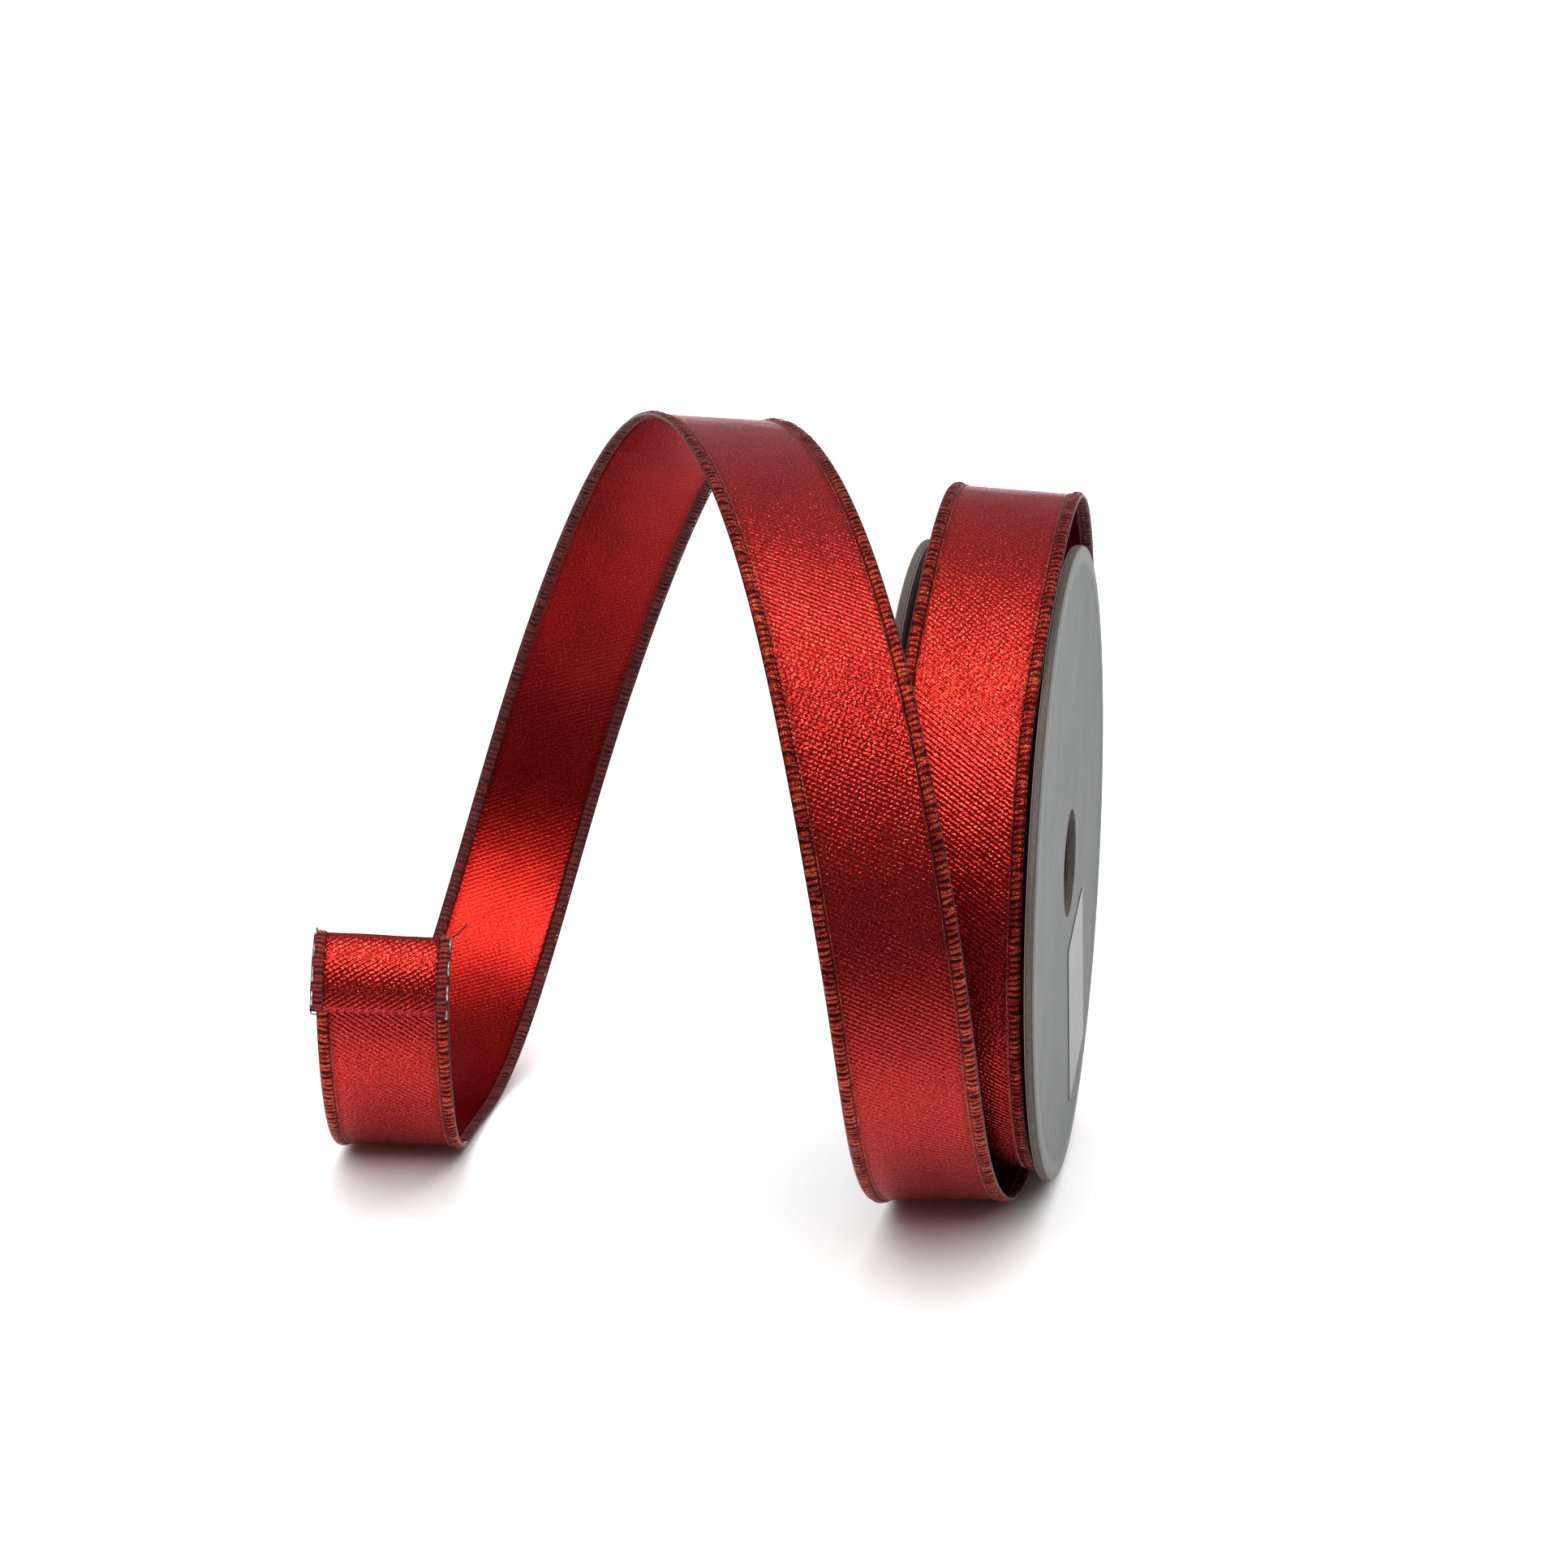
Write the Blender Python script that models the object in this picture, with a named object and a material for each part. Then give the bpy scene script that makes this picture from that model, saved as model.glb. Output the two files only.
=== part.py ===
"""A board spool of wired gift ribbon, with the loose end looped out beside it.

Metres, +Z up. The spool's axle line runs along X. The ribbon is followed by
its turn angle about that line: 0 at the top, positive towards the front (-Y),
falling from the roll to the free end.
"""

import math

import bmesh
import bpy
import numpy as np
from mathutils import Vector

MM = 0.001

# Where the middle of the spool stands.
SPOOL_AT = Vector((55.15, 2.85, 62.15)) * MM

# Spool.
FLANGE_RADIUS = 60.0 * MM
HOLE_RADIUS = 10.25 * MM
BOARD_THICK = 1.2 * MM
PAPER_THICK = 0.2 * MM
PASTE_GAP = 0.05 * MM
FLANGE_GAP = 26.5 * MM
RIM_BAND = 3.9 * MM
RIM_RISE = 0.25 * MM
CORE_OUTER = 25.0 * MM
CORE_BORE = 22.5 * MM
ROLL_RADIUS = 56.6 * MM
LABEL_SIZE = (25.0 * MM, 34.0 * MM)
LABEL_AT = (14.5 * MM, -31.5 * MM)
LABEL_TURN = math.radians(12.0)
LABEL_THICK = 0.15 * MM

# Ribbon.
RIBBON_WIDTH = 25.0 * MM
CLOTH_THICK = 0.34 * MM
HEM_WIDTH = 2.5 * MM
HEM_THICK = 1.2 * MM
HEM_WALL = 0.3 * MM
HEM_EDGE = 0.25 * MM
WIRE_RADIUS = 0.18 * MM
WIRE_ROOM = 0.1 * MM
STEP_DEG = 7.5
CUT_GAP_DEG = 0.3

# Folded end.
FOLD_RISE = 2.0 * MM
FOLD_BACK = 0.9 * MM
FOLD_FRONT = 1.4 * MM
FOLD_ROLL = 0.85 * MM
FLAP_LENGTH = 14.2 * MM
FLAP_WIDTH = 26.0 * MM
FLAP_LEAN = math.radians(3.0)
WIRE_END = 0.6 * MM

# The ribbon's course: turn angle in degrees, reach from the axle line in mm,
# sideways place in mm, and lean in degrees (right edge outwards).
COURSE = (
    (240, 57.5, 0.0, 0.0),
    (180, 57.5, 0.0, 0.0),
    (120, 57.5, 0.0, 0.0),
    (75, 57.8, 0.1, 0.0),
    (45, 60.6, 0.4, -1.0),
    (22, 65.3, 1.8, -2.0),
    (0, 69.3, 2.4, -2.5),
    (-45, 67.4, 1.2, -2.5),
    (-90, 64.8, 0.0, -2.5),
    (-135, 63.6, -1.4, -2.0),
    (-168, 62.7, -2.6, 0.0),
    (-180, 61.3, -3.2, 0.0),
    (-192, 62.7, -3.7, -0.5),
    (-225, 66.9, -5.2, -8.0),
    (-270, 75.0, -7.6, -10.0),
    (-315, 83.5, -22.2, -13.5),
    (-360, 82.4, -49.5, -4.0),
    (-405, 77.0, -77.0, 5.5),
    (-450, 71.0, -99.0, 6.0),
    (-495, 66.0, -110.0, 11.0),
    (-528, 62.3, -112.8, 3.0),
    (-540, 61.0, -113.0, 0.0),
    (-552, 61.3, -112.6, -1.5),
    (-575, 54.0, -110.8, -6.0),
    (-610, 35.0, -110.4, -10.0),
)
STRETCHES = (
    ("outer_turn", 240.0, 60.0),
    ("loose_turn", 60.0, -120.0),
    ("front_strip", -120.0, -300.0),
    ("back_strip", -300.0, -465.0),
    ("tail", -465.0, -610.0),
)


def clear_scene():
    for obj in list(bpy.data.objects):
        bpy.data.objects.remove(obj)


def material(name, colour, roughness, metallic=0.0):
    made = bpy.data.materials.new(name)
    made.use_nodes = True
    shader = made.node_tree.nodes["Principled BSDF"]
    shader.inputs["Base Color"].default_value = (*colour, 1.0)
    shader.inputs["Roughness"].default_value = roughness
    shader.inputs["Metallic"].default_value = metallic
    return made


def piece(name, mesh, surface, at, smooth=True):
    """An object from a bmesh in world place, with its origin moved to `at`."""
    bmesh.ops.recalc_face_normals(mesh, faces=mesh.faces)
    bmesh.ops.translate(mesh, vec=-at, verts=mesh.verts)
    data = bpy.data.meshes.new(name)
    mesh.to_mesh(data)
    mesh.free()
    data.materials.append(surface)
    made = bpy.data.objects.new(name, data)
    made.location = at
    bpy.context.scene.collection.objects.link(made)
    if smooth:
        data.shade_smooth()
        data.set_sharp_from_angle(angle=math.radians(35.0))
    return made


def turned(profile, segments):
    """A closed outline of (x, radius) turned about the axle line."""
    mesh = bmesh.new()
    rings = []
    for k in range(segments):
        angle = 2.0 * math.pi * k / segments
        ring = []
        for x, radius in profile:
            place = Vector((x, radius * math.sin(angle), radius * math.cos(angle)))
            ring.append(mesh.verts.new(SPOOL_AT + place))
        rings.append(ring)
    for k in range(segments):
        join_rings(mesh, rings[k], rings[(k + 1) % segments])
    return mesh


def join_rings(mesh, first, second):
    count = len(first)
    for i in range(count):
        j = (i + 1) % count
        mesh.faces.new((first[i], first[j], second[j], second[i]))


def swept(sections):
    """A closed body through equal rings of points, capped at both ends."""
    mesh = bmesh.new()
    rings = []
    for section in sections:
        rings.append([mesh.verts.new(point) for point in section])
    for first, second in zip(rings, rings[1:]):
        join_rings(mesh, first, second)
    mesh.faces.new(rings[0])
    mesh.faces.new(reversed(rings[-1]))
    return mesh


def smooth_through(knots, values, at):
    """A natural cubic curve through the values, read at the points asked for."""
    gaps = np.diff(knots)
    count = len(knots)
    system = np.eye(count)
    right = np.zeros(count)
    for i in range(1, count - 1):
        system[i, i - 1] = gaps[i - 1]
        system[i, i] = 2.0 * (gaps[i - 1] + gaps[i])
        system[i, i + 1] = gaps[i]
        rise = (values[i + 1] - values[i]) / gaps[i]
        before = (values[i] - values[i - 1]) / gaps[i - 1]
        right[i] = 6.0 * (rise - before)
    bend = np.linalg.solve(system, right)
    i = np.clip(np.searchsorted(knots, at) - 1, 0, count - 2)
    a = (knots[i + 1] - at) / gaps[i]
    b = 1.0 - a
    curved = (a**3 - a) * bend[i] + (b**3 - b) * bend[i + 1]
    return a * values[i] + b * values[i + 1] + curved * gaps[i] ** 2 / 6.0


def course_points(turns):
    """Middle points of the ribbon, from the axle line, and its leans."""
    course = np.array(COURSE, float)
    knots = -course[:, 0]
    reach = smooth_through(knots, course[:, 1], -turns) * MM
    side = smooth_through(knots, course[:, 2], -turns) * MM
    lean = np.radians(smooth_through(knots, course[:, 3], -turns))
    angle = np.radians(turns)
    points = np.stack([side, -reach * np.sin(angle), reach * np.cos(angle)], axis=1)
    return points + np.array(SPOOL_AT), lean


def frames(turns):
    """(middle, along, across, outward) of the ribbon at each turn angle."""
    turns = np.asarray(turns, float)
    middle, lean = course_points(turns)
    ahead, _ = course_points(turns - 0.05)
    behind, _ = course_points(turns + 0.05)
    made = []
    for place, front, back, tip in zip(middle, ahead, behind, lean):
        along = Vector(front - back).normalized()
        level = Vector((1.0, 0.0, 0.0))
        level = (level - along * level.dot(along)).normalized()
        outward = level.cross(along)
        across = level * math.cos(tip) + outward * math.sin(tip)
        made.append((Vector(place), along, across, across.cross(along)))
    return made


def stretch_turns(start, end):
    count = round((start - end) / STEP_DEG)
    turns = [start - (start - end) * k / count for k in range(count + 1)]
    if start != COURSE[0][0]:
        turns[0] -= CUT_GAP_DEG
    return turns


def laid(outline, places):
    """The outline's (across, outward) points set on each frame in turn."""
    sections = []
    for middle, _, across, outward in places:
        sections.append([middle + across * u + outward * n for u, n in outline])
    return sections


def cloth_outline(width):
    half = width / 2 - HEM_EDGE - WIRE_ROOM - 2 * WIRE_RADIUS - WIRE_ROOM
    thick = CLOTH_THICK / 2
    return [(-half, -thick), (half, -thick), (half, thick), (-half, thick)]


def hem_outline(side, width):
    """Overlocked thread, a channel folded round the cloth's edge and its wire."""
    out = side * width / 2
    root = out - side * HEM_WIDTH
    inside = out - side * HEM_EDGE
    thick = HEM_THICK / 2
    hollow = thick - HEM_WALL
    return [
        (root, hollow),
        (inside, hollow),
        (inside, -hollow),
        (root, -hollow),
        (root, -thick),
        (out, -thick),
        (out, thick),
        (root, thick),
    ]


def wire_outline(side, width):
    middle = side * (width / 2 - HEM_EDGE - WIRE_ROOM - WIRE_RADIUS)
    outline = []
    for k in range(6):
        angle = math.pi * k / 3
        across = middle + WIRE_RADIUS * math.cos(angle)
        outline.append((across, WIRE_RADIUS * math.sin(angle)))
    return outline


def flange(side, hand, board, paper):
    """One flange: grey board, its inner lining and its embossed outer facing."""
    face = FLANGE_GAP / 2
    lining = (face, face + PAPER_THICK)
    core = (lining[1] + PASTE_GAP, lining[1] + PASTE_GAP + BOARD_THICK)
    outer = core[1] + PASTE_GAP
    plain = outer + PAPER_THICK
    raised = plain + RIM_RISE
    edge = FLANGE_RADIUS - 0.15 * MM
    band = FLANGE_RADIUS - RIM_BAND
    slope = 0.6 * MM
    lining_outline = [
        (side * lining[0], HOLE_RADIUS),
        (side * lining[1], HOLE_RADIUS),
        (side * lining[1], edge),
        (side * lining[0], edge),
    ]
    board_outline = [
        (side * core[0], HOLE_RADIUS),
        (side * core[1], HOLE_RADIUS),
        (side * core[1], FLANGE_RADIUS),
        (side * core[0], FLANGE_RADIUS),
    ]
    facing_outline = [
        (side * outer, HOLE_RADIUS),
        (side * plain, HOLE_RADIUS),
        (side * plain, band),
        (side * raised, band + slope),
        (side * raised, edge - slope),
        (side * (raised - 0.12 * MM), edge - 0.2 * MM),
        (side * (plain - 0.05 * MM), edge),
        (side * outer, edge),
    ]
    piece(f"flange_lining_{hand}", turned(lining_outline, 96), paper, SPOOL_AT)
    piece(f"flange_board_{hand}", turned(board_outline, 96), board, SPOOL_AT)
    piece(f"flange_facing_{hand}", turned(facing_outline, 96), paper, SPOOL_AT)
    return plain


def label(face, surface):
    """The price sticker on the right-hand facing, set askew below the hole."""
    mesh = bmesh.new()
    near = face + PASTE_GAP
    rounding = 1.0 * MM
    outline = []
    half_wide, half_high = LABEL_SIZE[0] / 2, LABEL_SIZE[1] / 2
    for along, up in ((1, 1), (-1, 1), (-1, -1), (1, -1)):
        corner = math.atan2(up, along)
        for k in (-1, 0, 1):
            angle = corner + k * math.pi / 4
            u = along * (half_wide - rounding) + rounding * math.cos(angle)
            v = up * (half_high - rounding) + rounding * math.sin(angle)
            outline.append((u, v))
    rings = []
    for x in (near, near + LABEL_THICK):
        ring = []
        for u, v in outline:
            y = u * math.cos(LABEL_TURN) - v * math.sin(LABEL_TURN) + LABEL_AT[0]
            z = u * math.sin(LABEL_TURN) + v * math.cos(LABEL_TURN) + LABEL_AT[1]
            ring.append(mesh.verts.new(SPOOL_AT + Vector((x, y, z))))
        rings.append(ring)
    join_rings(mesh, rings[0], rings[1])
    mesh.faces.new(rings[0])
    mesh.faces.new(reversed(rings[1]))
    piece("flange_label", mesh, surface, SPOOL_AT, smooth=False)


def core_tube(surface):
    half = FLANGE_GAP / 2 - PASTE_GAP
    outline = [
        (-half, CORE_BORE),
        (half, CORE_BORE),
        (half, CORE_OUTER),
        (-half, CORE_OUTER),
    ]
    piece("core_tube", turned(outline, 64), surface, SPOOL_AT)


def wound_roll(cloth, thread):
    """The wound turns: cloth in the middle, a coil of hems at each end."""
    inner = CORE_OUTER + 0.2 * MM
    half = RIBBON_WIDTH / 2
    root = half - HEM_WIDTH
    middle = [
        (-root + 0.15 * MM, inner),
        (root - 0.15 * MM, inner),
        (root - 0.15 * MM, ROLL_RADIUS - 0.4 * MM),
        (-root + 0.15 * MM, ROLL_RADIUS - 0.4 * MM),
    ]
    piece("wound_cloth", turned(middle, 64), cloth, SPOOL_AT)
    for side, hand in ((-1, "left"), (1, "right")):
        coil = [
            (side * root, inner),
            (side * half, inner),
            (side * half, ROLL_RADIUS - 0.3 * MM),
            (side * (half - 0.4 * MM), ROLL_RADIUS),
            (side * root, ROLL_RADIUS),
        ]
        piece(f"wound_hem_{hand}", turned(coil, 64), thread, SPOOL_AT)


def tail_top():
    """Frames of the last straight rise, up to the level of the fold."""
    middle, along, across, outward = frames([COURSE[-1][0]])[0]
    return (middle + along * FOLD_RISE, along, across, outward)


def fold_line():
    middle, along, across, outward = tail_top()
    return (middle + outward * FOLD_BACK, along, across, outward)


def free_ribbon(cloth, thread, steel):
    """The loose run of ribbon, cut into stretches that each bend one way."""
    fixed = SPOOL_AT
    every = []
    for name, start, end in STRETCHES:
        places = frames(stretch_turns(start, end))
        every += places if not every else places[1:]
        if name == "tail":
            places.append(tail_top())
        outline = cloth_outline(RIBBON_WIDTH)
        made = piece(f"ribbon_cloth_{name}", swept(laid(outline, places)), cloth, fixed)
        if name == "tail":
            roll_over(made, cloth)
        for side, hand in ((-1, "left"), (1, "right")):
            outline = hem_outline(side, RIBBON_WIDTH)
            mesh = swept(laid(outline, places))
            piece(f"hem_stitching_{hand}_{name}", mesh, thread, fixed)
    every.append(tail_top())
    for side, hand in ((-1, "left"), (1, "right")):
        outline = wire_outline(side, RIBBON_WIDTH)
        piece(f"edge_wire_{hand}", swept(laid(outline, every)), steel, fixed)


def roll_over(tail, cloth):
    """Joins the roll of cloth inside the fold to the top of the tail."""
    middle, along, across, outward = fold_line()
    reach = RIBBON_WIDTH / 2 - HEM_WIDTH - 0.3 * MM
    sections = []
    for end in (-reach, reach):
        ring = []
        for k in range(12):
            angle = math.pi * (k + 0.5) / 6
            spoke = along * math.sin(angle) + outward * math.cos(angle)
            ring.append(middle + across * end + spoke * FOLD_ROLL)
        sections.append(ring)
    form = piece("fold_roll_form", swept(sections), cloth, middle)
    form.hide_render = True
    form.display_type = "WIRE"
    join = tail.modifiers.new("fold_roll", "BOOLEAN")
    join.operation = "UNION"
    join.solver = "EXACT"
    join.object = form


def end_flap(cloth, thread, steel):
    """The cut end folded forward over itself, hanging from the fold line."""
    at, along, across, outward = fold_line()
    down = -along * math.cos(FLAP_LEAN) + outward * math.sin(FLAP_LEAN)
    face = outward * math.cos(FLAP_LEAN) + along * math.sin(FLAP_LEAN)
    start = at + face * FOLD_FRONT
    places = []
    for reach in (0.0, FLAP_LENGTH):
        places.append((start + down * reach, down, across, face))
    outline = cloth_outline(FLAP_WIDTH)
    piece("end_flap_cloth", swept(laid(outline, places)), cloth, at)
    last = places[-1]
    ends = [places[0], (last[0] + down * WIRE_END, *last[1:])]
    for side, hand in ((-1, "left"), (1, "right")):
        mesh = swept(laid(hem_outline(side, FLAP_WIDTH), places))
        piece(f"end_flap_hem_{hand}", mesh, thread, at)
        mesh = swept(laid(wire_outline(side, FLAP_WIDTH), ends))
        piece(f"end_flap_wire_{hand}", mesh, steel, at)


def main():
    clear_scene()
    board = material("grey_board", (0.20, 0.17, 0.15), 0.9)
    tube = material("core_board", (0.23, 0.19, 0.15), 0.9)
    paper = material("flange_paper", (0.26, 0.26, 0.25), 0.6)
    sticker = material("label_paper", (0.42, 0.42, 0.42), 0.45)
    cloth = material("ribbon_cloth", (0.45, 0.02, 0.02), 0.35, 0.6)
    thread = material("hem_thread", (0.16, 0.02, 0.015), 0.4, 0.6)
    steel = material("wire_steel", (0.6, 0.6, 0.6), 0.35, 1.0)
    flange(-1, "left", board, paper)
    face = flange(1, "right", board, paper)
    label(face, sticker)
    core_tube(tube)
    wound_roll(cloth, thread)
    free_ribbon(cloth, thread, steel)
    end_flap(cloth, thread, steel)


main()
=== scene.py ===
"""Looks of a board spool of wired gift ribbon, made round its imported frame.

Metres, +Z up. Every stretch of ribbon is made flat first, with X across the
ribbon, Y along it and Z out of its right side, and is then laid on the
ribbon's course.
"""

import math
import random

import bmesh
import bpy
import numpy as np
from mathutils import Matrix, Vector, noise


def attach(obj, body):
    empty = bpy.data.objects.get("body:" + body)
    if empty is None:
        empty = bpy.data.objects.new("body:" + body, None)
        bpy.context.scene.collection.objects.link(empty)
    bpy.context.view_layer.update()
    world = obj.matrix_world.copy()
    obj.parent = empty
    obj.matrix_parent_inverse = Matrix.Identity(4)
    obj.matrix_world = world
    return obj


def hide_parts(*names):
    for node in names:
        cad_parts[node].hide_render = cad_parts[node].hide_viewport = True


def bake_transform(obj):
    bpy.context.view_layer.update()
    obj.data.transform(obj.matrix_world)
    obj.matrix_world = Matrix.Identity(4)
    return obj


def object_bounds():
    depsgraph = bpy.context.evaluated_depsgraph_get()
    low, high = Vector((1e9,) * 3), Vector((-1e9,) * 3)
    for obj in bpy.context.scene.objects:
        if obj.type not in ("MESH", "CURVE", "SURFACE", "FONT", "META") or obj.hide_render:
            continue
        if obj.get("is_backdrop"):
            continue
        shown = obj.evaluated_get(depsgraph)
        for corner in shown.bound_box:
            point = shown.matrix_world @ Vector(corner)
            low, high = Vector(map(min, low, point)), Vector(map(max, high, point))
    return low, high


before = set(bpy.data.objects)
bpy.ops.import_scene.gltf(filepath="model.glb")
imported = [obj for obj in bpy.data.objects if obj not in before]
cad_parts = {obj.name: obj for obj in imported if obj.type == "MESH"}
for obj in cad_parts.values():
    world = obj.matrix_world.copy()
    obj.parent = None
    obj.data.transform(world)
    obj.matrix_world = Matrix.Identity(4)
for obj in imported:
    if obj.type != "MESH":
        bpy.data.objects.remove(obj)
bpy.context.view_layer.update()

MM = 0.001

# Spool.
SPOOL_AT = Vector((55.15, 2.85, 62.15)) * MM
FLANGE_RADIUS = 60.0 * MM
HOLE_RADIUS = 10.25 * MM
BOARD_THICK = 1.2 * MM
PAPER_THICK = 0.2 * MM
PASTE_GAP = 0.05 * MM
FLANGE_GAP = 26.5 * MM
RIM_BAND = 3.9 * MM
RIM_RISE = 0.25 * MM
CORE_OUTER = 25.0 * MM
WOUND_REACH = 56.0 * MM
LABEL_AT = (14.5 * MM, -31.5 * MM)
LABEL_SIZE = (25.0 * MM, 34.0 * MM)
LABEL_TURN = math.radians(12.0)
TURNED_STEPS = 192

# Ribbon.
RIBBON_WIDTH = 25.0 * MM
CLOTH_THICK = 0.34 * MM
CLOTH_HALF = 10.9 * MM
HEM_MIDDLE = 11.25 * MM
HEM_HALF = 1.22 * MM
HEM_DEPTH = 0.42 * MM
STITCH_PITCH = 1.1 * MM
STITCH_HALF = 1.25 * MM
STITCH_RISE = 0.8 * MM
STITCHES_IN_SET = 12
CHAIN_AT = 9.85 * MM
FOLD_RISE = 0.3 * MM
FOLD_TURN = 1.15 * MM
FLAP_LENGTH = 15.2 * MM
FLAP_WIDEN = 1.04
FLAP_LEAN = math.radians(38.0)
FLAP_CURL = math.radians(68.0)
SEAM_BELOW = 4.0 * MM
WIRE_DASH = 4.6 * MM
DIP_FROM = 214.0
DIP = 1.5

# Weave, in mm, and the pale salmon colour of the specks painted on it as glints.
RIB_PITCH = 0.84
RIB_SLANT = -34.0
FLOAT_LENGTH = 1.05
GLINT_FLECK = (0.88, 0.15, 0.1)

# Studio.
CARD_FROM = -0.103
CARD_DEEP = 1.2

# The ribbon's course: turn angle in degrees, reach from the axle line in mm,
# sideways place in mm, and lean in degrees (right edge outwards).
COURSE = (
    (240, 57.5, 0.0, 0.0),
    (180, 57.5, 0.0, 0.0),
    (120, 57.5, 0.0, 0.0),
    (75, 57.8, 0.1, 0.0),
    (45, 60.6, 0.4, -1.0),
    (22, 65.3, 1.8, -2.0),
    (0, 69.3, 2.4, -2.5),
    (-45, 67.4, 1.2, -2.5),
    (-90, 64.8, 0.0, -2.5),
    (-135, 63.6, -1.4, -2.0),
    (-168, 62.7, -2.6, 0.0),
    (-180, 61.3, -3.2, 0.0),
    (-192, 62.7, -3.7, -0.5),
    (-225, 66.9, -5.2, -8.0),
    (-270, 75.0, -7.6, -10.0),
    (-315, 83.5, -22.2, -13.5),
    (-360, 82.4, -49.5, -4.0),
    (-405, 77.0, -77.0, 5.5),
    (-450, 71.0, -99.0, 6.0),
    (-495, 66.0, -110.0, 11.0),
    (-528, 62.3, -112.8, 3.0),
    (-540, 61.0, -113.0, 0.0),
    (-552, 61.3, -112.6, -1.5),
    (-575, 54.0, -110.8, -6.0),
    (-610, 35.0, -110.4, -10.0),
)


# ---------------------------------------------------------------- the courses


def smooth_through(knots, values, at):
    """A natural cubic curve through the values, read at the points asked for."""
    gaps = np.diff(knots)
    count = len(knots)
    system = np.eye(count)
    right = np.zeros(count)
    for i in range(1, count - 1):
        system[i, i - 1] = gaps[i - 1]
        system[i, i] = 2.0 * (gaps[i - 1] + gaps[i])
        system[i, i + 1] = gaps[i]
        rise = (values[i + 1] - values[i]) / gaps[i]
        before = (values[i] - values[i - 1]) / gaps[i - 1]
        right[i] = 6.0 * (rise - before)
    bend = np.linalg.solve(system, right)
    i = np.clip(np.searchsorted(knots, at) - 1, 0, count - 2)
    a = (knots[i + 1] - at) / gaps[i]
    b = 1.0 - a
    curved = (a**3 - a) * bend[i] + (b**3 - b) * bend[i + 1]
    return a * values[i] + b * values[i + 1] + curved * gaps[i] ** 2 / 6.0


def ease(share):
    share = np.clip(share, 0.0, 1.0)
    return share * share * (3.0 - 2.0 * share)


def course_points(turns):
    """Middle points of the ribbon, and its leans. Its start dips into the roll."""
    course = np.array(COURSE, float)
    knots = -course[:, 0]
    reach = smooth_through(knots, course[:, 1], -turns)
    reach -= DIP * ease((turns - DIP_FROM) / (COURSE[0][0] - DIP_FROM))
    side = smooth_through(knots, course[:, 2], -turns)
    lean = np.radians(smooth_through(knots, course[:, 3], -turns))
    angle = np.radians(turns)
    points = np.stack([side, -reach * np.sin(angle), reach * np.cos(angle)], axis=1)
    return points * MM + np.array(SPOOL_AT), lean


def unit(vectors):
    return vectors / np.linalg.norm(vectors, axis=1, keepdims=True)


class Course:
    """A line of ribbon in space, read by the distance run along it."""

    def __init__(self, middle, along, across, outward, widen=None):
        steps = np.linalg.norm(np.diff(middle, axis=0), axis=1)
        self.run = np.concatenate(([0.0], np.cumsum(steps)))
        self.length = float(self.run[-1])
        self.middle = middle
        self.along = along
        self.across = across
        self.outward = outward
        self.widen = np.ones(len(middle)) if widen is None else widen

    def read(self, values, distance):
        return np.stack(
            [np.interp(distance, self.run, values[:, k]) for k in range(3)], axis=1
        )

    def lay(self, flat):
        """Places in space of flat points (across, along, out of the right side)."""
        distance = flat[:, 1]
        widen = np.interp(distance, self.run, self.widen)
        across = self.read(self.across, distance) * (flat[:, 0] * widen)[:, None]
        outward = self.read(self.outward, distance) * flat[:, 2:]
        return self.read(self.middle, distance) + across + outward


def loose_course():
    """From where the ribbon leaves the roll to the foot of its folded end."""
    turns = np.arange(COURSE[0][0], COURSE[-1][0] - 0.25, -0.5)
    middle, lean = course_points(turns)
    ahead, _ = course_points(turns - 0.05)
    behind, _ = course_points(turns + 0.05)
    along = unit(ahead - behind)
    level = unit(np.array([1.0, 0.0, 0.0]) - along * along[:, :1])
    outward = np.cross(level, along)
    across = level * np.cos(lean)[:, None] + outward * np.sin(lean)[:, None]
    outward = np.cross(across, along)
    top = middle[-1] + along[-1] * FOLD_RISE
    return Course(
        np.vstack([middle, top]),
        np.vstack([along, along[-1]]),
        np.vstack([across, across[-1]]),
        np.vstack([outward, outward[-1]]),
    )


def folded_course(loose):
    """Up the last of the tail, over the fold and down the flap in front of it."""
    up, across, front = loose.along[-1], loose.across[-1], loose.outward[-1]
    places, out_of = [], []
    for distance in np.linspace(loose.length - SEAM_BELOW, loose.length, 9):
        places.append(loose.read(loose.middle, [distance])[0])
        out_of.append(loose.read(loose.outward, [distance])[0])
    for angle in np.linspace(0.0, math.pi - FLAP_LEAN, 25)[1:]:
        across_fold = front * (1.0 - math.cos(angle)) + up * math.sin(angle)
        places.append(loose.middle[-1] + across_fold * FOLD_TURN)
        out_of.append(front * math.cos(angle) - up * math.sin(angle))
    for share in np.linspace(0.0, 1.0, 19)[1:]:
        lean = FLAP_LEAN - FLAP_CURL * share
        down = -up * math.cos(lean) + front * math.sin(lean)
        places.append(places[-1] + down * FLAP_LENGTH / 18)
        out_of.append(-front * math.cos(lean) - up * math.sin(lean))
    places, out_of = np.array(places), np.array(out_of)
    wide = np.tile(across, (len(places), 1))
    widen = 1.0 + (FLAP_WIDEN - 1.0) * ease(np.arange(len(places)) / 30.0)
    return Course(places, np.cross(out_of, wide), wide, out_of, widen)


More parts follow.
